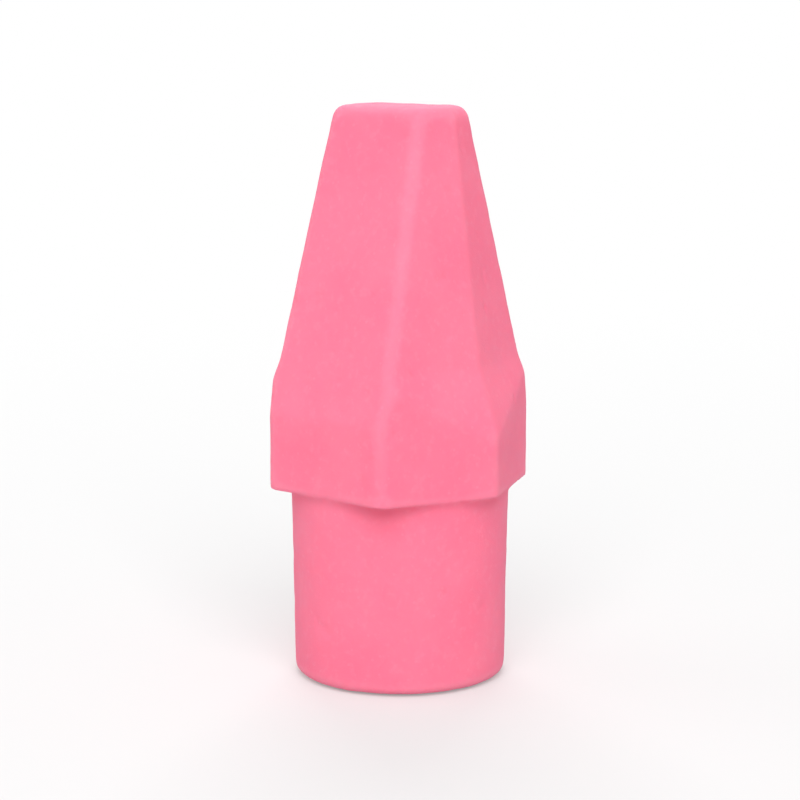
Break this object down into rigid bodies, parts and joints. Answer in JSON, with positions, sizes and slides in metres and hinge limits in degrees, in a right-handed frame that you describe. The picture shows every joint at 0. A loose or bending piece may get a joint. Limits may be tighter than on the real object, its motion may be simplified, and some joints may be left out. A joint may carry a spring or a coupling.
{
  "type": "pencil cap eraser",
  "caption": "Moulded rubber cap eraser with a round collar, a blind pencil bore and a six-sided head cut to a chisel tip.",
  "frame": {"origin": "centre of the mouth rim, on the surface the cap stands on", "axes": "+Z along the bore axis from the mouth rim to the chisel tip; the chisel edge lies along X and the flats face +Y and -Y"},
  "size_m": [0.0112, 0.0104, 0.0256],
  "materials": {
    "eraser_rubber": "matte, powdery moulded eraser rubber, salmon pink"
  },
  "bodies": {
    "root": {"eraser_cap": "eraser_rubber"}
  },
  "joints": []
}
